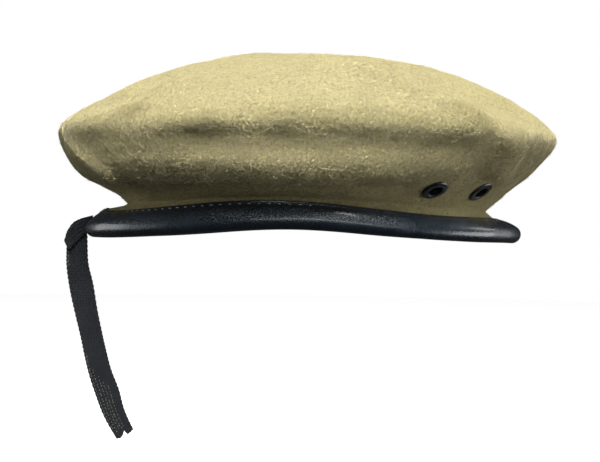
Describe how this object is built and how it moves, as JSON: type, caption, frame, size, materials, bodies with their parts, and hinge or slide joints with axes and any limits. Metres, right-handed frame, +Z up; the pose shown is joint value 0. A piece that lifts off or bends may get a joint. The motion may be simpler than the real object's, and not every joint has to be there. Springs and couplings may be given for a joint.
{
  "type": "beret",
  "caption": "Soft felt beret with a wide round crown, leather-bound head opening, side vent eyelets, fabric lining and a flat draw tape hanging at the back.",
  "frame": {"origin": "centre of the head opening, level with the lowest edge of the leather binding", "axes": "+X towards the wearer's front, +Y towards the wearer's left, +Z up out of the top of the crown"},
  "size_m": [0.264, 0.254, 0.2082],
  "materials": {
    "felt": "milled wool felt, matt with a soft nap",
    "lining": "thin satin-weave lining cloth",
    "fibre_board": "pressed fibre board",
    "binding_leather": "smooth black leather with a soft shine",
    "tape": "flat braided black tape",
    "eyelet_metal": "black enamelled brass",
    "thread_khaki": "twisted sewing thread",
    "thread_black": "twisted sewing thread",
    "label_cloth": "blank woven label"
  },
  "bodies": {
    "root": {"crown_felt": "felt", "lining_top": "lining", "lining_side": "lining", "badge_stiffener": "fibre_board", "leather_binding": "binding_leather", "draw_tape_channel": "tape", "eyelet_front": "eyelet_metal", "eyelet_rear": "eyelet_metal", "eyelet_washer_front": "eyelet_metal", "eyelet_washer_rear": "eyelet_metal", "binding_stitches_outer": "thread_khaki", "binding_stitches_inner": "thread_khaki", "lining_hem_stitches": "thread_black", "back_bar_tack": "thread_khaki", "size_label": "label_cloth"},
    "tape_fold": {"draw_tape_fold": "tape"},
    "tape_end": {"draw_tape_end": "tape"}
  },
  "joints": [
    {"name": "tape_swing", "type": "hinge", "parent": "root", "child": "tape_fold", "pos_m": [-0.1143, 0, 0.0076], "axis": [0, 1, 0], "range_deg": [-30, 60]},
    {"name": "tape_flutter", "type": "hinge", "parent": "tape_fold", "child": "tape_end", "pos_m": [-0.1237, 0, 0], "axis": [1, 0, 0], "range_deg": [-60, 60]}
  ]
}
